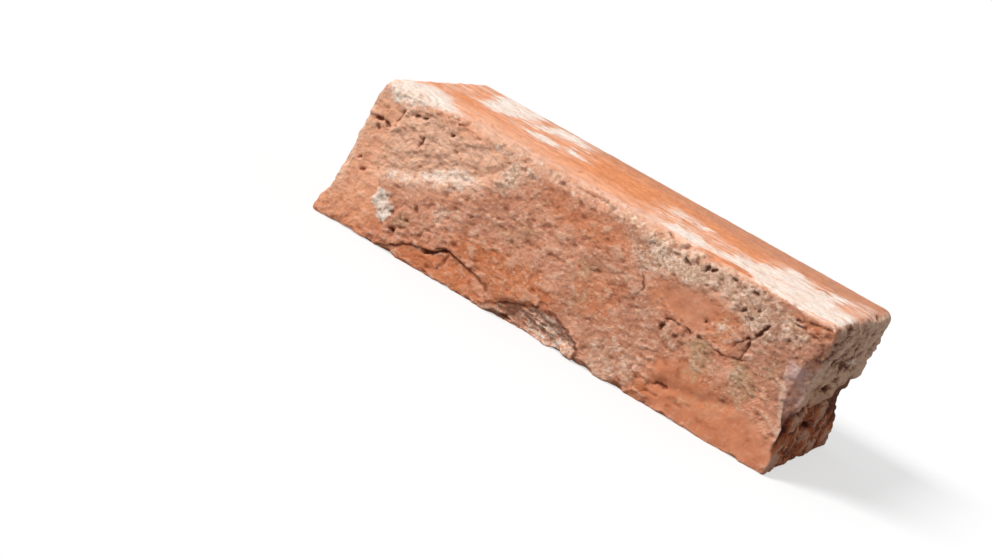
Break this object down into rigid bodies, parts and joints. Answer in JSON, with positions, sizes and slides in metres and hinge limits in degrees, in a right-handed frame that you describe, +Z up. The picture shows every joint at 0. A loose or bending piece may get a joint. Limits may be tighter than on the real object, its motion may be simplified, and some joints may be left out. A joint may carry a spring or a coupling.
{
  "type": "clay brick",
  "caption": "Hand-moulded solid clay brick, reclaimed: worn arrises, a flaked and notched lower arris, one spalled header.",
  "frame": {"origin": "under the middle of the brick's bounding box, on the plane of its lower bed", "axes": "+X along the stretchers, from the sound header to the broken one; +Y from the damaged stretcher to the plain one; +Z up, across the beds"},
  "size_m": [0.219, 0.1024, 0.065],
  "materials": {
    "fired_clay": "rough orange-red fired clay with weathered patina and remains of pale lime mortar"
  },
  "bodies": {
    "root": {"clay_brick": "fired_clay"}
  },
  "joints": []
}
